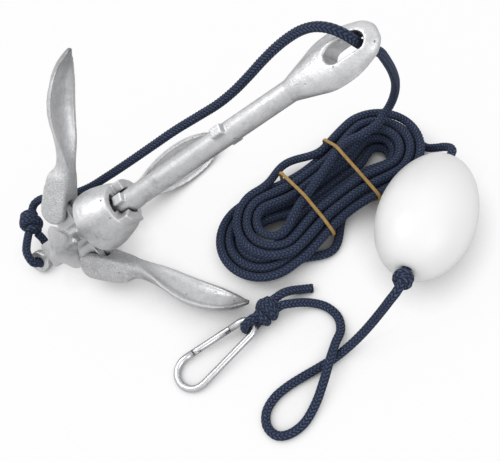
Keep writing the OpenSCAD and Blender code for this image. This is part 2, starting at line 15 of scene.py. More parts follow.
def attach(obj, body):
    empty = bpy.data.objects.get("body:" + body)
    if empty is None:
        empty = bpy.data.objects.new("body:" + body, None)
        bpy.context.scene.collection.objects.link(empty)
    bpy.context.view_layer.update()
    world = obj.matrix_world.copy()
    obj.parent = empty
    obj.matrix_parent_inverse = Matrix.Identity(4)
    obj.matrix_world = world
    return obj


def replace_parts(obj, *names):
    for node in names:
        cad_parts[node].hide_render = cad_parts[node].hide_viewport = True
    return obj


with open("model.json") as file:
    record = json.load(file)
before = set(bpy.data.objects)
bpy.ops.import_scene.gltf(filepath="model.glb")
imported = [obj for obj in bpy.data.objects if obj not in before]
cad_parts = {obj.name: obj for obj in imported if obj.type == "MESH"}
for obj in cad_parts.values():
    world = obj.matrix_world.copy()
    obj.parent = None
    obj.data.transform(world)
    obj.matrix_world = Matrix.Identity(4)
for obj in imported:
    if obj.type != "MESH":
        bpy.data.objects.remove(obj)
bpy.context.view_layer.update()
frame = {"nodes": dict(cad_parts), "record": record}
MM = 0.001

# Camera, fitted to the photograph's 500 by 461 frame
IMAGE_WIDTH = 500
FOCAL_PX = 790.33
SENSOR = 36.0
CLIP_START, CLIP_END = 10, 20000
CAMERA_AT = (97.15, -308.51, 510.56)
CAMERA_RIGHT = (0.9688, -0.13566, -0.2074)
CAMERA_UP = (0.22034, 0.85456, 0.47029)
CAMERA_BACK = (0.11344, -0.50131, 0.8578)

# Rope and its route, the same points as in the part's source
ROPE_D = 6.5
ROPE_R = ROPE_D / 2
CROWN_LOOP = [
    (-133.5, 20.5, 16), (-131.5, 18, 11), (-130.5, 14.5, 6.5), (-130.5, 11, 4.2), (-130.7, 7, 3.7),
    (-132, 3.4, 5.4), (-133.7, 0, 8.6), (-135.4, -3.5, 11.7), (-137.2, -4.2, 15.5), (-139, -1, 18.8),
    (-140.4, 4, 20.2), (-140.2, 10, 20.4), (-139.6, 15, 20.2), (-139, 19.5, 19.8)]
MAIN = [
    (-135.5, 38.6, 21.5), (-133, 43, 23), (-127, 45, 25), (-118, 43, 27.5), (-107, 39, 30.5),
    (-95, 36.5, 34), (-81, 35, 39), (-64, 34, 48), (-43, 33, 60), (-21, 33, 72), (0, 32.5, 84),
    (20, 30.5, 95.5), (36, 27.5, 106.5), (49, 25.5, 117.5), (61, 24.5, 129), (72.5, 23.5, 141),
    (82.5, 21.5, 151.5), (91.5, 18.5, 160.5), (99.5, 14.5, 168), (107.3, 9.8, 173), (114.6, 4.6, 174.8),
    (120.8, 0.9, 172.8), (125.3, -0.1, 167.9), (129.1, 1.3, 161), (132.9, 3.3, 154.2), (137.4, 5.6, 147),
    (142.2, 9.2, 139), (145.3, 14.1, 127.5), (148.1, 20.1, 114.5), (150.8, 26.1, 101), (153.1, 32, 87),
    (154.8, 37.5, 73), (155.2, 41.7, 60), (154.3, 44, 49.5), (152.2, 44.9, 41), (149, 44.6, 34.4),
    (144.9, 43.5, 29.8)]
LEAD_IN = [(172.5, 21.5, 6.5), (178, 18, 9.5), (183, 14.5, 13.5), (186, 10, 17.5), (186, 5, 20.5)]
LEAD = [
    (125.6, -99.6, 46), (121.5, -103.8, 44.5), (116.8, -106, 39.5), (112.5, -107.2, 32.5),
    (107.5, -108.8, 25.5), (101, -111.5, 18.5), (93, -115, 12), (83.5, -119, 6.5), (73, -123.4, 3.6),
    (62, -127.6, 3.4), (50, -131.8, 3.4), (39, -136.2, 3.4), (29, -142, 3.4), (22, -150.5, 3.4),
    (21, -160, 3.4), (26, -167, 3.4), (34, -168, 3.4), (45, -163, 3.4), (55, -152, 4.5), (63, -140, 8.5),
    (70, -127, 10.8), (76, -115, 8.5), (81, -105, 4.6), (81, -95, 3.4), (75, -86, 3.4), (66, -81, 4),
    (58, -80, 7), (51, -80.5, 10), (45, -81.2, 12), (41, -82.8, 12)]
TAIL_START = (33.5, -83, 11.2)
TAIL = [
    (38.5, -76.5, 12), (42, -74.7, 12), (47, -72, 11), (53, -70, 8), (59, -69, 4.6), (64, -69, 3.4),
    (68, -69.5, 3.4)]

# Hank, as in the part's source
HANK_AT = (93, 3)
HANK_TURN = 27
HANK_HALF_L = 78
HANK_HALF_W = 33
HANK_SPREAD = 14
HANK_WAIST = 7
HANK_STEP = 7.4
HANK_LAYER = 7.1
HANK_Z = 4.85
HANK_TURNS = 3.5
HANK_FIRST = HANK_TURNS - 0.25
HANK_END = HANK_FIRST + 2 * HANK_TURNS - 5 / 12
HANK_CLIMB = 0.34
HANK_STRAY = 22
HANK_RUN = HANK_HALF_L - HANK_HALF_W
WAIST_REACH = HANK_RUN + 8

# A loop's parts are a quarter turn, a run, two quarter turns, a run and a quarter turn
LOOP_PARTS = 6
LOOP_POINTS = 240

# How far out from the hank's middle its inner runs lie close together
HANK_CLOSE = 28

# Strands slipped out of a band: loop, start and end of the bow, how far it goes out past the waist, and up
UPPER_SLACK = (7, -42, 18, 9, -8)
LOWER_SLACK = (0, -56, 2, 12, -0.9)

# Small waves of the other strands: height, length to a radian, shift from loop to loop, reach, share upwards
WAVE = 0.4
WAVE_L = 15
WAVE_SHIFT = 2.1
WAVE_REACH = HANK_RUN + 10
WAVE_LIFT = 0.4

# Rubber bands
BAND_X = (-20, 22)
BAND_W = 2.5
BAND_T = 1.2
BAND_STEP = 1.2
BAND_SIDES = 12
BAND_SQUARE = 0.6
SOFT_GAP = 0.4

# Float
FLOAT_AT = (155, -48.5)
FLOAT_TURN = 60
FLOAT_TILT = 12
FLOAT_L = 102
FLOAT_D = 66
FLOAT_HOLE_D = 8.4
FLOAT_LIP = 1.6
FLOAT_SIDES = 96
LIP_SUNK = 0.2
HOLE_SEEN = 9
EGG_FULL = 0.92
EGG_SKEW, EGG_POINT = 0.05, 0.05
EGG_LAST, EGG_STEP = 84, 6
STOPPER_L = 10

# Rope in the float: how far it comes straight in from outside, and its inner points as a share of the way
FLOAT_CLEAR = 6
FLOAT_INSIDE = 0.3

# Braid of the rope: strands each way round, length of one cell along the rope, points to a cell, depth
CARRIERS = 8
CELL = 2.8
CELL_POINTS = 4
RELIEF = 0.5
ROPE_SIDES = CARRIERS * CELL_POINTS

# Knots
CROWN_KNOT_AT = (-137, 29, 20)
CROWN_KNOT_TURN = 82
CROWN_KNOT_LIFT = 8
KNOT_L = 20
WRAP_POINTS = 40
TUCK_TURN, TUCK_R = 0.3, 0.25

# Snap hook
HOOK_AT = (-35, -118, 2.51)
HOOK_TURN = 27
HOOK_TILT = 6.32
HOOK_L = 46
WIDE_R, NARROW_R, WIRE_R = 12, 6.5, 2.5
LOOP_R = ROPE_R + WIRE_R + SOFT_GAP
SAME_POINT = 0.001
WIRE_CORNER = 40

# Castings: voxel and smoothing passes of each, and the rope eye's rounding by the distance from its middle
VOXEL = 0.6
SMOOTHING = 0.5
SHANK_PASSES, COLLAR_PASSES, FLUKE_PASSES = 7, 6, 4
EYE_END, EYE_FADE, EYE_PASSES = 38, 12, 24
PLAIN_SAND = 0.15

# Flukes, by the distance from the pivot: rounded fork, blended neck, sandy root and worn tip
FORK_END, FORK_FADE, FORK_PASSES = 56, 14, 18
NECK_AT, NECK_SPREAD, NECK_PASSES = 35, 13, 200
SAND_END, SAND_FADE, LEAST_SAND = 62, 30, 0.1
TIP_START, TIP_FADE = 100, 22

# Ridge of a blade's back: its two ends, depth of the flanks beside it, their slopes and their outer edge
RIDGE_START, RIDGE_IN = 45, 20
RIDGE_END, RIDGE_OUT = 126, 12
RIDGE_DEPTH, RIDGE_SLOPE, RIDGE_EDGE = 1.8, 5, 15
BACK_START, BACK_FADE = 0.1, 0.3

# Stage, in metres and watts
FLOOR_HALF = 6
SKY_TOWARDS = (-0.5, 0.35, 0.8)
SKY_FROM, SKY_TO = -0.4, 0.95
SKY_LOW, SKY_HIGH = 0.62, 0.92
KEY_AT, KEY_SIZE, KEY_POWER = (-0.75, 0.25, 1.15), 0.5, 4.4
FILL_AT, FILL_SIZE, FILL_POWER = (0.9, -1.0, 0.9), 1.0, 5

# Colours
CAST_DULL, CAST_BRIGHT = (0.70, 0.705, 0.715), (0.84, 0.845, 0.855)
CAST_CLOUD, CAST_SAND = (0.60, 0.605, 0.62), (0.50, 0.505, 0.515)
# The second colour below is painted shade in concave corners.
CAST_EDGE, CAST_CORNER_SHADE = (0.88, 0.885, 0.89), (0.16, 0.162, 0.17)
CAST_STAIN, CAST_PIT = (0.26, 0.262, 0.27), (0.10, 0.10, 0.105)
# The first colour below is painted shade in crevices and narrow gaps between parts.
CAST_CREVICE_SHADE, CAST_TIP = (0.07, 0.071, 0.075), (0.12, 0.122, 0.128)
# The first colour below is painted shade down between the rope's strands.
NAVY_GAP_SHADE, NAVY_TOP = (0.0045, 0.0065, 0.014), (0.06, 0.086, 0.163)
NAVY_FLECK, NAVY_DULL = (0.12, 0.155, 0.245), (0.018, 0.028, 0.06)
TAN_DARK, TAN_LIGHT = (0.34, 0.20, 0.05), (0.45, 0.285, 0.085)
WHITE_WARM, WHITE_CLEAR = (0.90, 0.90, 0.893), (0.92, 0.92, 0.915)
ZINC_DARK, ZINC_LIGHT = (0.66, 0.67, 0.69), (0.78, 0.785, 0.80)
FLOOR_GREY = (0.55, 0.55, 0.55)

# How far a surface looks for others that keep light from it
CREVICE = 6
FLOOR_CREVICE = 30


def camera():
    data = bpy.data.cameras.new("camera")
    data.sensor_fit = "HORIZONTAL"
    data.sensor_width = SENSOR
    data.lens = FOCAL_PX / IMAGE_WIDTH * SENSOR
    data.clip_start, data.clip_end = CLIP_START * MM, CLIP_END * MM
    obj = bpy.data.objects.new("camera", data)
    turn = Matrix((CAMERA_RIGHT, CAMERA_UP, CAMERA_BACK)).transposed().to_4x4()
    obj.matrix_world = Matrix.Translation(Vector(CAMERA_AT) * MM) @ turn
    bpy.context.collection.objects.link(obj)
    bpy.context.scene.camera = obj


camera()


# Lines


def heading(turn, lift):
    """Direction at a turn from X and a lift from the floor, in degrees."""
    turn, lift = math.radians(turn), math.radians(lift)
    return np.array([math.cos(turn) * math.cos(lift), math.sin(turn) * math.cos(lift), math.sin(lift)])


def through(points, per=12):
    """Smooth line through points, Catmull-Rom with chord based knots."""
    p = np.asarray(points, float)
    p = np.vstack([2 * p[0] - p[1], p, 2 * p[-1] - p[-2]])
    out = []
    for a, b, c, d in zip(p, p[1:], p[2:], p[3:]):
        t0 = 0.0
        t1 = t0 + math.sqrt(np.linalg.norm(b - a))
        t2 = t1 + math.sqrt(np.linalg.norm(c - b))
        t3 = t2 + math.sqrt(np.linalg.norm(d - c))
        t = np.linspace(t1, t2, per, endpoint=False)[:, None]
        ab = (t1 - t) / (t1 - t0) * a + (t - t0) / (t1 - t0) * b
        bc = (t2 - t) / (t2 - t1) * b + (t - t1) / (t2 - t1) * c
        cd = (t3 - t) / (t3 - t2) * c + (t - t2) / (t3 - t2) * d
        left = (t2 - t) / (t2 - t0) * ab + (t - t0) / (t2 - t0) * bc
        right = (t3 - t) / (t3 - t1) * bc + (t - t1) / (t3 - t1) * cd
        out.append((t2 - t) / (t2 - t1) * left + (t - t1) / (t2 - t1) * right)
    return np.vstack(out + [p[-2:-1]])


def lengths(line):
    return np.concatenate([[0], np.cumsum(np.linalg.norm(np.diff(line, axis=0), axis=1))])


def spaced(line, step):
    """The same line with points at even steps."""
    s = lengths(line)
    at = np.linspace(0, s[-1], max(int(round(s[-1] / step)), 2) + 1)
    return np.stack([np.interp(at, s, line[:, k]) for k in range(3)], 1)


def sides_of(line):
    """Two directions square to a line at each of its points, turned as little as possible on the way."""
    ahead = np.gradient(line, axis=0)
    ahead /= np.linalg.norm(ahead, axis=1)[:, None]
    steep = abs(ahead[0][2]) >= 0.8
    start = np.cross(ahead[0], (1, 0, 0) if steep else (0, 0, 1))
    side = [start / np.linalg.norm(start)]
    for d in ahead[1:]:
        v = side[-1] - d * (side[-1] @ d)
        side.append(v / np.linalg.norm(v))
    side = np.array(side)
    return side, np.cross(ahead, side)


# Meshes


def new_object(name, mesh, body, material):
    obj = bpy.data.objects.new(name, mesh)
    bpy.context.collection.objects.link(obj)
    mesh.materials.clear()
    mesh.materials.append(material)
    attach(obj, body)
    return obj


def smooth_mesh(name, verts, faces):
    """Smooth shaded mesh from points in millimetres."""
    mesh = bpy.data.meshes.new(name)
    mesh.from_pydata((np.asarray(verts) * MM).tolist(), [], faces)
    mesh.polygons.foreach_set("use_smooth", [True] * len(mesh.polygons))
    mesh.update()
    return mesh


def tube_faces(rings, sides):
    """Faces of a tube of rings with flat ends."""
    i = np.arange(rings - 1)[:, None] * sides
    k = np.arange(sides)[None]
    k1 = (k + 1) % sides
    quads = np.stack([i + k, i + k1, i + sides + k1, i + sides + k], -1).reshape(-1, 4)
    start = list(range(sides - 1, -1, -1))
    end = list(range((rings - 1) * sides, rings * sides))
    return quads.tolist() + [start, end]


def ring_faces(rings, sides, reverse=False):
    """Faces of a tube whose last ring joins the first."""
    faces = []
    for i in range(rings):
        for k in range(sides):
            i1, k1 = (i + 1) % rings, (k + 1) % sides
            a, b, c, d = i * sides + k, i * sides + k1, i1 * sides + k1, i1 * sides + k
            faces.append((a, d, c, b) if reverse else (a, b, c, d))
    return faces


def cad_mesh(name, cad_nodes, merge=None):
    """Copy of the meshes of CAD nodes as one, its points merged where they are closer than a distance."""
    box = bmesh.new()
    for cad_node in cad_nodes:
        box.from_mesh(frame["nodes"][cad_node].data)
    if merge:
        bmesh.ops.remove_doubles(box, verts=box.verts, dist=merge * MM)
    mesh = bpy.data.meshes.new(name)
    box.to_mesh(mesh)
    box.free()
    return mesh


def store(mesh, name, values):
    """A value for each point, for the materials to read."""
    mesh.attributes.new(name, "FLOAT", "POINT").data.foreach_set("value", np.asarray(values, np.float32))


def braid_height(around, along):
    """Height of the braid from 0 to 1: strands both ways round, each over two and under two of the others."""
    a, b = around + along, around - along
    fa, fb = a % 1, b % 1
    step = (np.floor(a) + np.floor(b)) % 4
    over = step < 2
    across = np.where(over, fb, fa)
    run = np.where(over, step + fa, step - 2 + fb) / 2
    return np.sqrt(np.maximum(np.sin(math.pi * across), 0)) * (0.5 + 0.5 * np.sin(math.pi * run))


def braided(name, line):
    """Braided rope along a line in millimetres: its mesh, the line that it follows and its braid's height."""
    line = spaced(line, CELL / CELL_POINTS)
    along = np.arange(len(line)) / CELL_POINTS
    x, y = sides_of(line)
    k = np.arange(ROPE_SIDES)
    turn = 2 * math.pi * k / ROPE_SIDES
    h = braid_height(k[None] / CELL_POINTS, along[:, None])
    r = ROPE_R - RELIEF * (1 - h)
    ring = np.cos(turn)[None, :, None] * x[:, None] + np.sin(turn)[None, :, None] * y[:, None]
    verts = (line[:, None] + r[..., None] * ring).reshape(-1, 3)
    return smooth_mesh(name, verts, tube_faces(len(line), ROPE_SIDES)), line, h.ravel()


# Rope


def wound(t):
    """How many turns in from the outside the hank is after t loops: in, out and in again."""
    m = (t - HANK_FIRST + 2 * HANK_TURNS) % (2 * HANK_TURNS)
    return HANK_FIRST - m if m < HANK_TURNS else HANK_FIRST - 2 * HANK_TURNS + m


def rise(f):
    """Smooth step from 0 to 1."""
    f = min(max(f, 0), 1)
    return f * f * (3 - 2 * f)


def layer(t):
    """Layer of the hank after t loops: two climbs that are halfway at their place, one that ends there."""
    climbs = (HANK_FIRST, 0.5), (HANK_FIRST + HANK_TURNS, 0.5), (HANK_END, 1)
    return sum(rise((t - at) / HANK_CLIMB + early) for at, early in climbs)


def waist(x, inner=0):
    """How far a run is drawn in at x. The inner ones, towards 1, lie close along more of their length."""
    close = HANK_CLOSE * min(max(inner, 0), 1)
    past = min(max(abs(x) - close, 0) / (WAIST_REACH - close), 1)
    return HANK_WAIST * math.cos(math.pi / 2 * past) ** 2


def swell(x, low, high):
    """From 0 at low up to 1 halfway and back to 0 at high."""
    return math.sin(math.pi * min(max((x - low) / (high - low), 0), 1)) ** 2


def slack(t, x):
    """How far a strand strays out and up: two slipped out of the first band, the others only wave."""
    loop, f = math.floor(t), LOOP_PARTS * (t - math.floor(t))
    for on_run, side, strand in ((1 < f < 2, 1, UPPER_SLACK), (4 < f < 5, -1, LOWER_SLACK)):
        slack_loop, low, high, out, up = strand
        if on_run and loop == slack_loop:
            s = swell(x, low, high)
            return side * (waist(x) + out) * s, up * s
    wave = WAVE * math.sin(x / WAVE_L + WAVE_SHIFT * loop) * swell(x, -WAVE_REACH, WAVE_REACH)
    return (wave if f < 3 else -wave), WAVE_LIFT * wave


def hank_point(t, loose):
    """Point of the hank in its own plane: round ended loops, drawn in at the waist, longer if low."""
    turns_in = wound(t)
    r = HANK_HALF_W - HANK_STEP * turns_in
    low = layer(math.floor(t) + 0.5) < 1.5
    e = HANK_RUN + HANK_SPREAD if low else HANK_RUN
    f = LOOP_PARTS * (t - math.floor(t))
    q = math.pi / 2
    if f < 1:
        x, y = HANK_RUN + r * math.cos(q * f), r * math.sin(q * f)
    elif f < 2:
        x, y = HANK_RUN - (HANK_RUN + e) * (f - 1), r
    elif f < 4:
        x, y = -e - r * math.sin(q * (f - 2)), r * math.cos(q * (f - 2))
    elif f < 5:
        x, y = -e + (HANK_RUN + e) * (f - 4), -r
    else:
        x, y = HANK_RUN + r * math.sin(q * (f - 5)), -r * math.cos(q * (f - 5))
    y -= math.copysign(min(waist(x, turns_in / HANK_FIRST), abs(y)), y)
    y += HANK_STRAY * rise(LOOP_PARTS * (t - HANK_END) + 1)
    out, up = slack(t, x) if loose else (0, 0)
    return x, y + out, HANK_Z + HANK_LAYER * layer(t) + up


def hank_local(loose=True):
    count = round(LOOP_POINTS * HANK_END)
    return np.array([hank_point(k / LOOP_POINTS, loose) for k in range(count + 1)])


def on_floor(points):
    """Points of the hank's own plane, turned and moved to its place."""
    c, s = math.cos(math.radians(HANK_TURN)), math.sin(math.radians(HANK_TURN))
    x, y, z = np.atleast_2d(np.asarray(points, float)).T
    return np.stack([HANK_AT[0] + x * c - y * s, HANK_AT[1] + x * s + y * c, z], 1)


def egg(a):
    """Radius of the float and place along it at an angle from its middle."""
    n, c = math.sin(a), max(math.cos(a), 0)
    return FLOAT_D / 2 * c ** EGG_FULL * (1 - EGG_SKEW * n - EGG_POINT * n * n), FLOAT_L / 2 * n


EGG = [egg(math.radians(a)) for a in range(-EGG_LAST, EGG_LAST + 1, EGG_STEP)]
TILT = math.radians(FLOAT_TILT)
FLOAT_Z = max(r * math.cos(TILT) + z * math.sin(TILT) for r, z in EGG)
FLOAT_DIR = heading(FLOAT_TURN, -FLOAT_TILT)
FLOAT_MIDDLE = np.array([FLOAT_AT[0], FLOAT_AT[1], FLOAT_Z])


def on_float(d):
    return FLOAT_MIDDLE + d * FLOAT_DIR


def rope_line():
    """Whole run of the rope: crown knot, rope eye, hank, float and on to the hook's knot."""
    hank = hank_local()
    start = on_floor([hank[0] - (0, 2 * ROPE_D, 0), hank[0] - (0, ROPE_D, 0)])
    end = on_floor([hank[-1] + (ROPE_D, 0, 0), hank[-1] + (2 * ROPE_D, 0, 0)])
    out = FLOAT_L / 2 + FLOAT_CLEAR
    stopper_at = -FLOAT_L / 2 - STOPPER_L / 2
    in_float = [on_float(d) for d in (out, FLOAT_INSIDE * out, -FLOAT_INSIDE * out, stopper_at)]
    to_hank = np.vstack([MAIN, end[::-1]])
    from_hank = np.vstack([start[::-1], LEAD_IN, in_float, LEAD])
    return np.vstack([through(to_hank)[:-1], on_floor(hank[::-1]), through(from_hank)[1:]])


# Materials


def material(name):
    mat = bpy.data.materials.new(name)
    mat.use_nodes = True
    tree = mat.node_tree
    tree.nodes.clear()
    out = tree.nodes.new("ShaderNodeOutputMaterial")
    shader = tree.nodes.new("ShaderNodeBsdfPrincipled")
    tree.links.new(shader.outputs[0], out.inputs[0])
    return mat, tree, shader


def node(tree, kind, links=(), **values):
    """New node with its properties, values of its sockets and links into them."""
    made = tree.nodes.new("ShaderNode" + kind)
    for key, value in values.items():
        if hasattr(made, key):
            setattr(made, key, value)
        else:
            made.inputs[key.replace("_", " ")].default_value = value
    for key, source in dict(links).items():
        tree.links.new(source, made.inputs[key])
    return made


def noise(tree, scale, detail=2.0, rough=0.5):
    place = node(tree, "TexCoord")
    return node(tree, "TexNoise", {"Vector": place.outputs["Object"]}, Scale=scale, Detail=detail,
        Roughness=rough).outputs["Fac"]


def ramp(tree, source, low, high, to_low=0.0, to_high=1.0):
    return node(tree, "MapRange", {"Value": source}, clamp=True, From_Min=low, From_Max=high, To_Min=to_low,
        To_Max=to_high).outputs["Result"]


def maths(tree, kind, a, b):
    made = tree.nodes.new("ShaderNodeMath")
    made.operation = kind
    for socket, value in zip(made.inputs, (a, b)):
        if isinstance(value, (int, float)):
            socket.default_value = value
        else:
            tree.links.new(value, socket)
    return made.outputs[0]


def mixed(tree, factor, a, b):
    made = tree.nodes.new("ShaderNodeMix")
    made.data_type = "RGBA"
    made.clamp_factor = True
    for socket, value in zip((made.inputs["Factor"], made.inputs[6], made.inputs[7]), (factor, a, b)):
        if isinstance(value, (int, float)):
            socket.default_value = value
        elif isinstance(value, tuple):
            socket.default_value = (*value, 1)
        else:
            tree.links.new(value, socket)
    return made.outputs[2]


def attribute(tree, name):
    return node(tree, "Attribute", attribute_name=name).outputs["Fac"]


def bump(tree, shader, height, distance, strength):
    made = node(tree, "Bump", {"Height": height}, Distance=distance, Strength=strength)
    tree.links.new(made.outputs[0], shader.inputs["Normal"])


def open_to_light(tree, reach):
    """1 where a surface is open all round, towards 0 in narrow gaps."""
    return node(tree, "AmbientOcclusion", samples=8, Distance=reach * MM).outputs["AO"]


def cast_metal():
    """Galvanised casting: sandy at the fluke roots, pitted, dark at the worn tips, with painted shade in
    crevices and concave corners.
    """
    mat, tree, shader = material("galvanised_casting")
    grain = noise(tree, 900, 3, 0.65)
    mottle = noise(tree, 170, 4, 0.65)
    broad = noise(tree, 28, 3)
    root, tip = attribute(tree, "root"), attribute(tree, "tip")
    place = node(tree, "TexCoord")
    cells = node(tree, "TexVoronoi", {"Vector": place.outputs["Object"]}, Scale=150)
    pit = maths(tree, "MULTIPLY", ramp(tree, cells.outputs["Distance"], 0.04, 0.12, 1, 0),
        ramp(tree, cells.outputs["Color"], 0.62, 0.70))
    edge = node(tree, "NewGeometry").outputs["Pointiness"]
    colour = mixed(tree, ramp(tree, mottle, 0.35, 0.68), CAST_DULL, CAST_BRIGHT)
    colour = mixed(tree, ramp(tree, broad, 0.38, 0.66, 0, 0.4), colour, CAST_CLOUD)
    sand = maths(tree, "MULTIPLY", ramp(tree, grain, 0.42, 0.6, 1, 0), ramp(tree, root, 0, 1, 0.2, 0.75))
    colour = mixed(tree, sand, colour, CAST_SAND)
    colour = mixed(tree, ramp(tree, edge, 0.515, 0.56, 0, 0.55), colour, CAST_EDGE)
    # Painted shade: concave corners darkened, by pointiness.
    colour = mixed(tree, ramp(tree, edge, 0.40, 0.49, 0.75, 0), colour, CAST_CORNER_SHADE)
    blotch = ramp(tree, noise(tree, 75, 5, 0.7), 0.55, 0.68)
    stain = maths(tree, "MULTIPLY", blotch, ramp(tree, broad, 0.4, 0.6))
    colour = mixed(tree, maths(tree, "MULTIPLY", stain, 0.55), colour, CAST_STAIN)
    colour = mixed(tree, maths(tree, "MULTIPLY", pit, 0.65), colour, CAST_PIT)
    # Painted shade: crevices and narrow gaps between parts darkened, by ambient occlusion.
    crevice_shade = ramp(tree, open_to_light(tree, CREVICE), 0.3, 0.8, 0.85, 0)
    colour = mixed(tree, crevice_shade, colour, CAST_CREVICE_SHADE)
    worn = maths(tree, "MULTIPLY", tip, ramp(tree, mottle, 0.3, 0.6, 0.25, 0.9))
    colour = mixed(tree, worn, colour, CAST_TIP)
    tree.links.new(colour, shader.inputs["Base Color"])
    rough = maths(tree, "ADD", ramp(tree, mottle, 0.3, 0.7, 0.30, 0.42), maths(tree, "MULTIPLY", root, 0.12))
    tree.links.new(rough, shader.inputs["Roughness"])
    shader.inputs["Metallic"].default_value = 0.7
    relief = maths(tree, "MULTIPLY", grain, maths(tree, "ADD", maths(tree, "MULTIPLY", root, 0.9), 0.2))
    relief = maths(tree, "ADD", relief, maths(tree, "MULTIPLY", mottle, 0.5))
    relief = maths(tree, "SUBTRACT", relief, maths(tree, "MULTIPLY", pit, 0.9))
    bump(tree, shader, relief, 0.0008, 0.85)
    return mat


def rope_fibre():
    """Navy braid: painted shade between the strands, lighter flecks where single yarns catch the light."""
    mat, tree, shader = material("navy_braid")
    lie = attribute(tree, "lie")
    fleck = noise(tree, 650, 3, 0.7)
    fibre = noise(tree, 2600, 2)
    tone = noise(tree, 22, 2)
    # Painted shade: the braid darkened down between its strands, by its height.
    colour = mixed(tree, ramp(tree, lie, 0.3, 0.95), NAVY_GAP_SHADE, NAVY_TOP)
    lit = maths(tree, "MULTIPLY", ramp(tree, fleck, 0.53, 0.66, 0, 0.9), ramp(tree, lie, 0.5, 0.9))
    colour = mixed(tree, lit, colour, NAVY_FLECK)
    colour = mixed(tree, ramp(tree, tone, 0.35, 0.65, 0, 0.3), colour, NAVY_DULL)
    tree.links.new(colour, shader.inputs["Base Color"])
    shader.inputs["Roughness"].default_value = 0.85
    shader.inputs["Specular IOR Level"].default_value = 0.25
    shader.inputs["Sheen Weight"].default_value = 0.05
    shader.inputs["Sheen Roughness"].default_value = 0.5
    bump(tree, shader, fibre, 0.0003, 0.7)
    return mat


def rubber():
    mat, tree, shader = material("tan_rubber")
    mottle = noise(tree, 320, 3)
    colour = mixed(tree, ramp(tree, mottle, 0.35, 0.7), TAN_DARK, TAN_LIGHT)
    tree.links.new(colour, shader.inputs["Base Color"])
    shader.inputs["Roughness"].default_value = 0.55
    bump(tree, shader, noise(tree, 1500, 2), 0.0001, 0.5)
    return mat


def shell():
    """Glossy white moulding with faint waviness and a hint of yellowing."""
    mat, tree, shader = material("white_shell")
    colour = mixed(tree, ramp(tree, noise(tree, 14, 2), 0.35, 0.7), WHITE_WARM, WHITE_CLEAR)
    tree.links.new(colour, shader.inputs["Base Color"])
    rough = ramp(tree, noise(tree, 60, 3), 0.3, 0.7, 0.3, 0.38)
    tree.links.new(rough, shader.inputs["Roughness"])
    shader.inputs["Subsurface Weight"].default_value = 0.6
    shader.inputs["Subsurface Radius"].default_value = (1, 1, 1)
    shader.inputs["Subsurface Scale"].default_value = 0.02
    shader.inputs["Coat Weight"].default_value = 0.15
    shader.inputs["Coat Roughness"].default_value = 0.2
    bump(tree, shader, noise(tree, 45, 2), 0.0003, 0.2)
    return mat


def zinc():
    mat, tree, shader = material("bright_zinc")
    streak = noise(tree, 260, 3, 0.6)
    colour = mixed(tree, ramp(tree, streak, 0.35, 0.7), ZINC_DARK, ZINC_LIGHT)
    tree.links.new(colour, shader.inputs["Base Color"])
    tree.links.new(ramp(tree, streak, 0.3, 0.7, 0.22, 0.3), shader.inputs["Roughness"])
    shader.inputs["Metallic"].default_value = 0.95
    return mat


def floor_white():
    """Matt floor, shown mostly as plain white where it lies open, so that the object's shadow stays faint."""
    mat, tree, shader = material("studio_floor")
    shader.inputs["Base Color"].default_value = (*FLOOR_GREY, 1)
    shader.inputs["Roughness"].default_value = 0.9
    shader.inputs["Specular IOR Level"].default_value = 0.0
    white = node(tree, "Emission", Strength=1.05)
    share = ramp(tree, open_to_light(tree, FLOOR_CREVICE), 0.25, 0.85, 0, 0.86)
    seen = maths(tree, "MULTIPLY", share, node(tree, "LightPath").outputs["Is Camera Ray"])
    mix = node(tree, "MixShader", {0: seen, 1: shader.outputs[0], 2: white.outputs[0]})
    tree.links.new(mix.outputs[0], tree.nodes["Material Output"].inputs[0])
    return mat


CAST, ROPE, RUBBER, SHELL, ZINC = cast_metal(), rope_fibre(), rubber(), shell(), zinc()


def rope_piece(name, lines, nodes):
    """One piece of braided rope along lines, standing for CAD nodes. Returns it and its last line."""
    box = bmesh.new()
    lie = []
    for line in lines:
        mesh, used, height = braided(name, np.asarray(line, float))
        box.from_mesh(mesh)
        lie.append(height)
        bpy.data.meshes.remove(mesh)
    mesh = bpy.data.meshes.new(name)
    box.to_mesh(mesh)
    box.free()
    store(mesh, "lie", np.concatenate(lie))
    obj = new_object(name, mesh, "anchor", ROPE)
    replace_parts(obj, *nodes)
    return obj, used


# Knots


def wraps(half, radius, turns, phase, lean):
    """Rope wound round an axis along X, both ends tucked in towards the axis."""
    count = int(WRAP_POINTS * turns)
    out = []
    for i in range(count + 1):
        f = i / count
        a = 2 * math.pi * (turns * f + phase)
        tuck = min(1, f * turns / TUCK_TURN, (1 - f) * turns / TUCK_TURN)
        r = radius * (TUCK_R + (1 - TUCK_R) * math.sin(tuck * math.pi / 2))
        x = -half + 2 * half * f + lean * math.sin(a)
        out.append((x, r * math.cos(a), r * math.sin(a)))
    return np.array(out)


def placed(points, at, axis):
    """Points with X turned along an axis and moved to a place."""
    x = np.asarray(axis, float) / np.linalg.norm(axis)
    y = np.cross((0, 0, 1), x)
    y /= np.linalg.norm(y)
    return np.asarray(at, float) + np.asarray(points) @ np.stack([x, y, np.cross(x, y)])


def hook_knot():
    """Loop through the narrow end of the hook and the knot beyond it."""
    x = heading(HOOK_TURN, HOOK_TILT)
    z = np.cross(x, heading(HOOK_TURN + 90, 0))
    eye = np.array(HOOK_AT) + (WIDE_R + HOOK_L + NARROW_R) * x
    turn = np.radians(np.arange(0, 361, 6))
    ring = eye + LOOP_R * (np.cos(turn)[:, None] * x + np.sin(turn)[:, None] * z)
    middle = eye + (WIRE_R + SOFT_GAP + KNOT_L / 2) * x
    tied = placed(wraps(half=6.6, radius=5.7, turns=2.2, phase=0.1, lean=0.8), middle, x)
    over = placed(wraps(half=4.2, radius=6.6, turns=1.1, phase=0.55, lean=3.2), middle, x)
    return rope_piece("hook_knot_tied", [ring, tied, over], ["hook_knot"])[0]


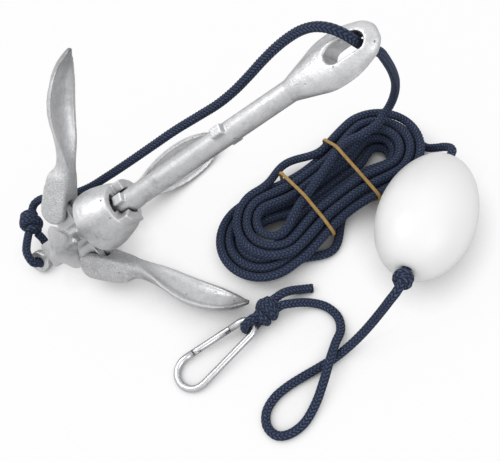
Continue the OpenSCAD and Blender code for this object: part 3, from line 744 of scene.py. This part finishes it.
def crown_knot():
    """Knot that closes the loop through the crown eye."""
    axis = heading(CROWN_KNOT_TURN, CROWN_KNOT_LIFT)
    tied = placed(wraps(half=6.4, radius=5.6, turns=2.2, phase=0.3, lean=0.6), CROWN_KNOT_AT, axis)
    over = placed(wraps(half=3.6, radius=6.4, turns=1.1, phase=0.9, lean=3.4), CROWN_KNOT_AT, axis)
    return rope_piece("crown_knot_tied", [tied, over], ["crown_knot"])[0]


def stopper():
    """Knot that keeps the float from sliding down the rope."""
    at = on_float(-FLOAT_L / 2 - SOFT_GAP - STOPPER_L / 2)
    tied = placed(wraps(half=2.6, radius=3.8, turns=1.6, phase=0.2, lean=1.2), at, FLOAT_DIR)
    return rope_piece("float_stopper", [tied], ["float_knot"])[0]


def ropes():
    """All the rope: the crown loop, the main line, its end and the knots."""
    loop, loop_path = rope_piece("crown_rope", [through(CROWN_LOOP)], ["crown_loop"])
    line, line_path = rope_piece("anchor_rope", [rope_line()],
        ["rope_main", "rope_hank", "rope_float", "rope_lead"])
    tail, tail_path = rope_piece("rope_end", [through([TAIL_START, *TAIL])], ["rope_tail"])
    knots = crown_knot(), stopper(), hook_knot()
    for piece, path, far_end, lay, pieces in (
            (loop, loop_path, "knot", "loose", [knots[0]]),
            (line, line_path, "knot", "coiled", [knots[1], knots[2]]),
            (tail, tail_path, "bare", "loose", [])):
        path = path * MM


# Bands and float


def hull(points):
    """Corners of the convex outline of points in a plane, counter clockwise."""
    p = sorted(map(tuple, points))
    def half(run):
        out = []
        for q in run:
            while len(out) > 1 and ((out[-1][0] - out[-2][0]) * (q[1] - out[-2][1])
                    - (out[-1][1] - out[-2][1]) * (q[0] - out[-2][0])) <= 0:
                out.pop()
            out.append(q)
        return out[:-1]
    return np.array(half(p) + half(p[::-1]))


def band(name, cad_node, x):
    """Rubber band stretched round the hank's strands."""
    line = hank_local(loose=False)
    turn = np.linspace(0, 2 * math.pi, 2 * BAND_SIDES, endpoint=False)
    reach = ROPE_R + SOFT_GAP + BAND_T / 2
    dots = []
    for at in (x - BAND_W / 2, x + BAND_W / 2):
        for a, b in zip(line, line[1:]):
            if (a[0] - at) * (b[0] - at) < 0:
                p = a + (b - a) * (at - a[0]) / (b[0] - a[0])
                dots += [(p[1] + reach * math.cos(t), p[2] + reach * math.sin(t)) for t in turn]
    outline = hull(dots)
    outline = np.vstack([outline, outline[:1]])
    flat = spaced(np.stack([0 * outline[:, 0], outline[:, 0], outline[:, 1]], 1), BAND_STEP)[:-1]
    ahead = np.roll(flat, -1, 0) - np.roll(flat, 1, 0)
    ahead /= np.linalg.norm(ahead, axis=1)[:, None]
    out = np.stack([0 * ahead[:, 0], ahead[:, 2], -ahead[:, 1]], 1)
    a = 2 * math.pi * np.arange(BAND_SIDES) / BAND_SIDES
    wide = BAND_W / 2 * np.sign(np.cos(a)) * np.abs(np.cos(a)) ** BAND_SQUARE
    thick = BAND_T / 2 * np.sign(np.sin(a)) * np.abs(np.sin(a)) ** BAND_SQUARE
    verts = flat[:, None] + wide[None, :, None] * np.array([1, 0, 0]) + thick[None, :, None] * out[:, None]
    verts[..., 0] += x
    mesh = smooth_mesh(name, on_floor(verts.reshape(-1, 3)), ring_faces(len(flat), BAND_SIDES))
    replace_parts(new_object(name, mesh, "anchor", RUBBER), cad_node)


def float_shell():
    """Egg shaped float, turned from one outline, with rounded lips at the rope hole."""
    hole, lip = FLOAT_HOLE_D / 2, FLOAT_LIP
    sweep = [math.radians(a) for a in np.arange(-90, 90.1, 2)]
    outer = [egg(a) for a in sweep]
    outer = [p for p in outer if p[0] > hole + lip]
    low, high = outer[0][1], outer[-1][1]
    bend = [math.radians(a) for a in range(0, 91, 15)]
    rows = [(hole, low + HOLE_SEEN)]
    rows += [(hole + lip - lip * math.cos(a), low + lip - lip * math.sin(a) + LIP_SUNK) for a in bend]
    rows += outer
    rows += [(hole + lip - lip * math.sin(a), high - lip + lip * math.cos(a) - LIP_SUNK) for a in bend]
    rows += [(hole, high - HOLE_SEEN)]
    a = 2 * math.pi * np.arange(FLOAT_SIDES) / FLOAT_SIDES
    local = np.array([[(z, r * math.cos(t), r * math.sin(t)) for t in a] for r, z in rows])
    verts = placed(local.reshape(-1, 3), FLOAT_MIDDLE, FLOAT_DIR)
    mesh = smooth_mesh("float_shell", verts, ring_faces(len(rows), FLOAT_SIDES, reverse=True))
    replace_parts(new_object("float_shell", mesh, "float", SHELL), "float_body")


# Castings and hook


def rounded(cad_nodes, name, body, passes):
    """Casting made from CAD nodes, joined, with its edges rounded."""
    obj = new_object(name, cad_mesh(name, cad_nodes), body, CAST)
    remesh = obj.modifiers.new("voxels", "REMESH")
    remesh.mode = "VOXEL"
    remesh.voxel_size = VOXEL * MM
    smooth = obj.modifiers.new("soften", "SMOOTH")
    smooth.factor = SMOOTHING
    smooth.iterations = passes
    done = bpy.data.meshes.new_from_object(obj.evaluated_get(bpy.context.evaluated_depsgraph_get()))
    obj.modifiers.clear()
    obj.data = done
    done.name = name
    done.materials.clear()
    done.materials.append(CAST)
    done.polygons.foreach_set("use_smooth", [True] * len(done.polygons))
    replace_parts(obj, *cad_nodes)
    return obj


def points_of(mesh):
    flat = np.empty(3 * len(mesh.vertices), np.float32)
    mesh.vertices.foreach_get("co", flat)
    return flat.reshape(-1, 3)


def move_points(mesh, points):
    mesh.vertices.foreach_set("co", points.astype(np.float32).ravel())
    mesh.update()


def distances(mesh, at):
    """How far each point is from a place, in millimetres."""
    return np.linalg.norm(points_of(mesh) - at, axis=1) / MM


def fade(at, start, over):
    """From 0 at start up to 1 at over past it, which lies below the start where over is negative."""
    return np.clip((at - start) / over, 0, 1)


def soften(mesh, share, passes):
    """Smooth the points of a mesh, each by its own share."""
    points = points_of(mesh).astype(float)
    ends = np.empty(2 * len(mesh.edges), np.int32)
    mesh.edges.foreach_get("vertices", ends)
    a, b = ends.reshape(-1, 2).T
    count = np.bincount(ends, minlength=len(points))[:, None]
    size = len(points)
    for _ in range(passes):
        total = np.stack([np.bincount(a, points[b, k], size) + np.bincount(b, points[a, k], size)
            for k in range(3)], 1)
        points += SMOOTHING * share[:, None] * (total / count - points)
    move_points(mesh, points)


def crease(mesh, pivot, axis, hub):
    """Press in both flanks of a blade's back, which leaves a ridge along its middle."""
    points = points_of(mesh).astype(float)
    normals = np.empty(3 * len(points), np.float32)
    mesh.vertex_normals.foreach_get("vector", normals)
    from_pivot = (points - pivot) / MM
    far = np.linalg.norm(from_pivot, axis=1)
    across = np.abs(from_pivot @ axis)
    out = np.cross(axis, from_pivot[far.argmax()])
    out *= np.sign(out @ (pivot - hub)) / np.linalg.norm(out)
    on_back = fade(normals.reshape(-1, 3) @ out, BACK_START, BACK_FADE)
    along = fade(far, RIDGE_START, RIDGE_IN) * fade(far, RIDGE_END, -RIDGE_OUT)
    on_flank = np.minimum(fade(across, 0, RIDGE_SLOPE), fade(across, RIDGE_EDGE, -RIDGE_SLOPE))
    depth = RIDGE_DEPTH * on_flank * along * on_back
    move_points(mesh, points - depth[:, None] * out * MM)


def shank_and_collar():
    """The two plain castings, rounder at the rope eye."""
    eye = next(np.array(m["pos_m"]) for m in frame["record"]["mounts"] if m["name"] == "rope_eye")
    for cad_node, body, passes in (("shank", "anchor", SHANK_PASSES), ("collar", "collar", COLLAR_PASSES)):
        mesh = rounded([cad_node], cad_node + "_cast", body, passes).data
        soften(mesh, fade(distances(mesh, eye), EYE_END, -EYE_FADE), EYE_PASSES)
        store(mesh, "root", np.full(len(mesh.vertices), PLAIN_SAND))
        store(mesh, "tip", np.zeros(len(mesh.vertices)))


def flukes():
    """Four flukes with their pins, each shaped by the distance from its pivot."""
    joints = [j for j in frame["record"]["behaviour"]["joints"] if j["name"].endswith("_fold")]
    folds = {j["child"]: (np.array(j["pos_m"]), np.array(j["axis"])) for j in joints}
    hub = np.mean([at for at, _ in folds.values()], 0)
    for body, (pivot, axis) in folds.items():
        pin = body.replace("fluke", "fluke_pin")
        mesh = rounded([body, pin], body + "_cast", body, FLUKE_PASSES).data
        far = distances(mesh, pivot)
        soften(mesh, fade(far, FORK_END, -FORK_FADE), FORK_PASSES)
        soften(mesh, np.exp(-((far - NECK_AT) / NECK_SPREAD) ** 2), NECK_PASSES)
        crease(mesh, pivot, axis, hub)
        store(mesh, "root", np.maximum(fade(far, SAND_END, -SAND_FADE), LEAST_SAND))
        store(mesh, "tip", fade(far, TIP_START, TIP_FADE))


def drawn(cad_node, name, body):
    """Copy of a CAD node as drawn wire, smooth except at its corners."""
    mesh = cad_mesh(name, [cad_node], merge=SAME_POINT)
    mesh.shade_smooth()
    mesh.set_sharp_from_angle(angle=math.radians(WIRE_CORNER))
    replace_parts(new_object(name, mesh, body, ZINC), cad_node)


def hook():
    """Snap hook: its wire and gate, and the two small CAD nodes that show as they are."""
    drawn("hook_body", "hook_wire", "anchor")
    drawn("hook_gate", "hook_gate_rod", "gate")
    for cad_node in ("gate_pin", "gate_plunger"):
        frame["nodes"][cad_node].data.materials.clear()
        frame["nodes"][cad_node].data.materials.append(ZINC)


# Stage


def area_light(name, at, size, power):
    """Square lamp that looks at the middle of the floor."""
    data = bpy.data.lights.new(name, "AREA")
    data.size = size
    data.energy = power
    obj = bpy.data.objects.new(name, data)
    obj.location = at
    obj.rotation_euler = (-Vector(at)).to_track_quat("-Z", "Y").to_euler()
    bpy.context.collection.objects.link(obj)


def studio():
    """White floor, a sky that is lighter on one side, and two lamps."""
    mesh = bpy.data.meshes.new("floor")
    corners = (-1, -1), (1, -1), (1, 1), (-1, 1)
    mesh.from_pydata([(FLOOR_HALF * x, FLOOR_HALF * y, 0) for x, y in corners], [], [(0, 1, 2, 3)])
    floor = bpy.data.objects.new("floor", mesh)
    mesh.materials.append(floor_white())
    bpy.context.collection.objects.link(floor)
    world = bpy.data.worlds.new("studio")
    bpy.context.scene.world = world
    world.use_nodes = True
    tree = world.node_tree
    sky = tree.nodes["Background"]
    direction = node(tree, "TexCoord").outputs["Generated"]
    facing = node(tree, "VectorMath", {0: direction}, operation="DOT_PRODUCT")
    facing.inputs[1].default_value = Vector(SKY_TOWARDS).normalized()
    light = ramp(tree, facing.outputs["Value"], SKY_FROM, SKY_TO, SKY_LOW, SKY_HIGH)
    path = node(tree, "LightPath").outputs["Is Camera Ray"]
    tree.links.new(maths(tree, "MAXIMUM", light, path), sky.inputs["Strength"])
    sky.inputs["Color"].default_value = (1, 1, 1, 1)
    area_light("key", KEY_AT, KEY_SIZE, KEY_POWER)
    area_light("fill", FILL_AT, FILL_SIZE, FILL_POWER)
    bpy.context.scene.view_settings.view_transform = "Standard"


ropes()
for number, where in enumerate(BAND_X, 1):
    band("rubber_band_%d" % number, "hank_band_%d" % number, where)
float_shell()
shank_and_collar()
flukes()
hook()
studio()
